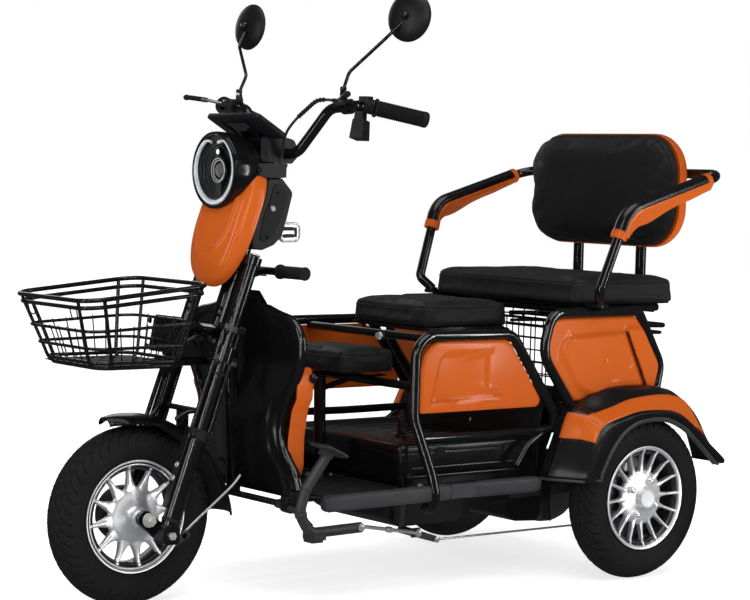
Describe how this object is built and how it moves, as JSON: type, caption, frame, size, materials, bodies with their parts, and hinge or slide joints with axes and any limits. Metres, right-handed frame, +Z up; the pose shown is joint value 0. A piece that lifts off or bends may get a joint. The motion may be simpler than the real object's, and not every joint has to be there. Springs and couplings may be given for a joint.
{
  "type": "electric tricycle",
  "caption": "Electric leisure tricycle with a front basket, rider, child and rear passenger seats, side panels, rear fenders and a steered front wheel.",
  "frame": {"origin": "on the ground, under the middle of the overall length and width", "axes": "+X forward, +Y to the rider's left, +Z up; the wheels spin about Y"},
  "size_m": [1.574, 0.728, 1.259],
  "materials": {
    "tyre": "matt",
    "rim": "polished and machined",
    "black_frame": "gloss black paint",
    "black_plastic": "gloss black moulded plastic",
    "matt_black_plastic": "textured black plastic",
    "orange_plastic": "gloss orange moulded plastic",
    "seat_cover": "black grained synthetic leather",
    "rubber": "black rubber",
    "steel": "zinc plated",
    "lamp": "black lamp bucket with clear lens",
    "tail_lens": "red lens",
    "axle_black": "satin black"
  },
  "bodies": {
    "frame": {"armrest_pads": "rubber", "armrest_tube": "black_frame", "backrest_cushion": "seat_cover", "backrest_posts": "black_frame", "backrest_shell": "orange_plastic", "battery_tub": "black_plastic", "cargo_basket": "black_frame", "chassis_cross_members": "black_frame", "chassis_rails": "black_frame", "child_hand_grip": "rubber", "child_seat_cushion": "seat_cover", "child_seat_frame": "black_frame", "drive_axle": "axle_black", "floorboard": "matt_black_plastic", "foot_brake": "black_frame", "front_side_panels": "orange_plastic", "head_tube": "black_frame", "inner_shield": "orange_plastic", "leg_shield": "black_plastic", "rear_deck": "matt_black_plastic", "rear_fenders": "black_plastic", "rear_hoops": "black_frame", "rear_seat_cushion": "seat_cover", "rear_seat_frame": "black_frame", "rear_shocks": "black_frame", "rear_side_panels": "orange_plastic", "seat_cross_tubes": "black_frame", "side_hoops": "black_frame", "tail_lamp": "tail_lens"},
    "steering": {"steering_stem": "black_frame", "fork_legs": "axle_black", "front_axle_links": "steel", "headlamp": "lamp", "nose_cowl": "orange_plastic", "switch_housing": "black_plastic", "instrument_panel": "black_plastic", "handlebar": "black_frame", "hand_grips": "rubber", "brake_levers": "matt_black_plastic", "mirrors": "black_plastic", "front_basket": "black_frame", "front_fender": "black_plastic", "control_cables": "rubber"},
    "front_wheel": {"front_tyre": "tyre", "front_rim": "rim"},
    "rear_wheel_left": {"rear_tyre_left": "tyre", "rear_rim_left": "rim"},
    "rear_wheel_right": {"rear_tyre_right": "tyre", "rear_rim_right": "rim"},
    "driver_seat": {"driver_seat_pan": "axle_black", "driver_seat_cushion": "seat_cover"}
  },
  "joints": [
    {"name": "steering_turn", "type": "hinge", "parent": "frame", "child": "steering", "pos_m": [0.35719, 0, 0.6], "axis": [-0.3355, 0, 0.9421], "range_deg": [-30, 30]},
    {"name": "front_wheel_spin", "type": "hinge", "parent": "steering", "child": "front_wheel", "pos_m": [0.582, 0, 0.183], "axis": [0, 1, 0], "continuous": true},
    {"name": "rear_left_wheel_spin", "type": "hinge", "parent": "frame", "child": "rear_wheel_left", "pos_m": [-0.538, 0.316, 0.183], "axis": [0, 1, 0], "continuous": true},
    {"name": "rear_right_wheel_spin", "type": "hinge", "parent": "frame", "child": "rear_wheel_right", "pos_m": [-0.538, -0.316, 0.183], "axis": [0, 1, 0], "continuous": true},
    {"name": "driver_seat_lift", "type": "hinge", "parent": "frame", "child": "driver_seat", "pos_m": [-0.312, 0, 0.545], "axis": [0, -1, 0], "range_deg": [0, 70]}
  ]
}
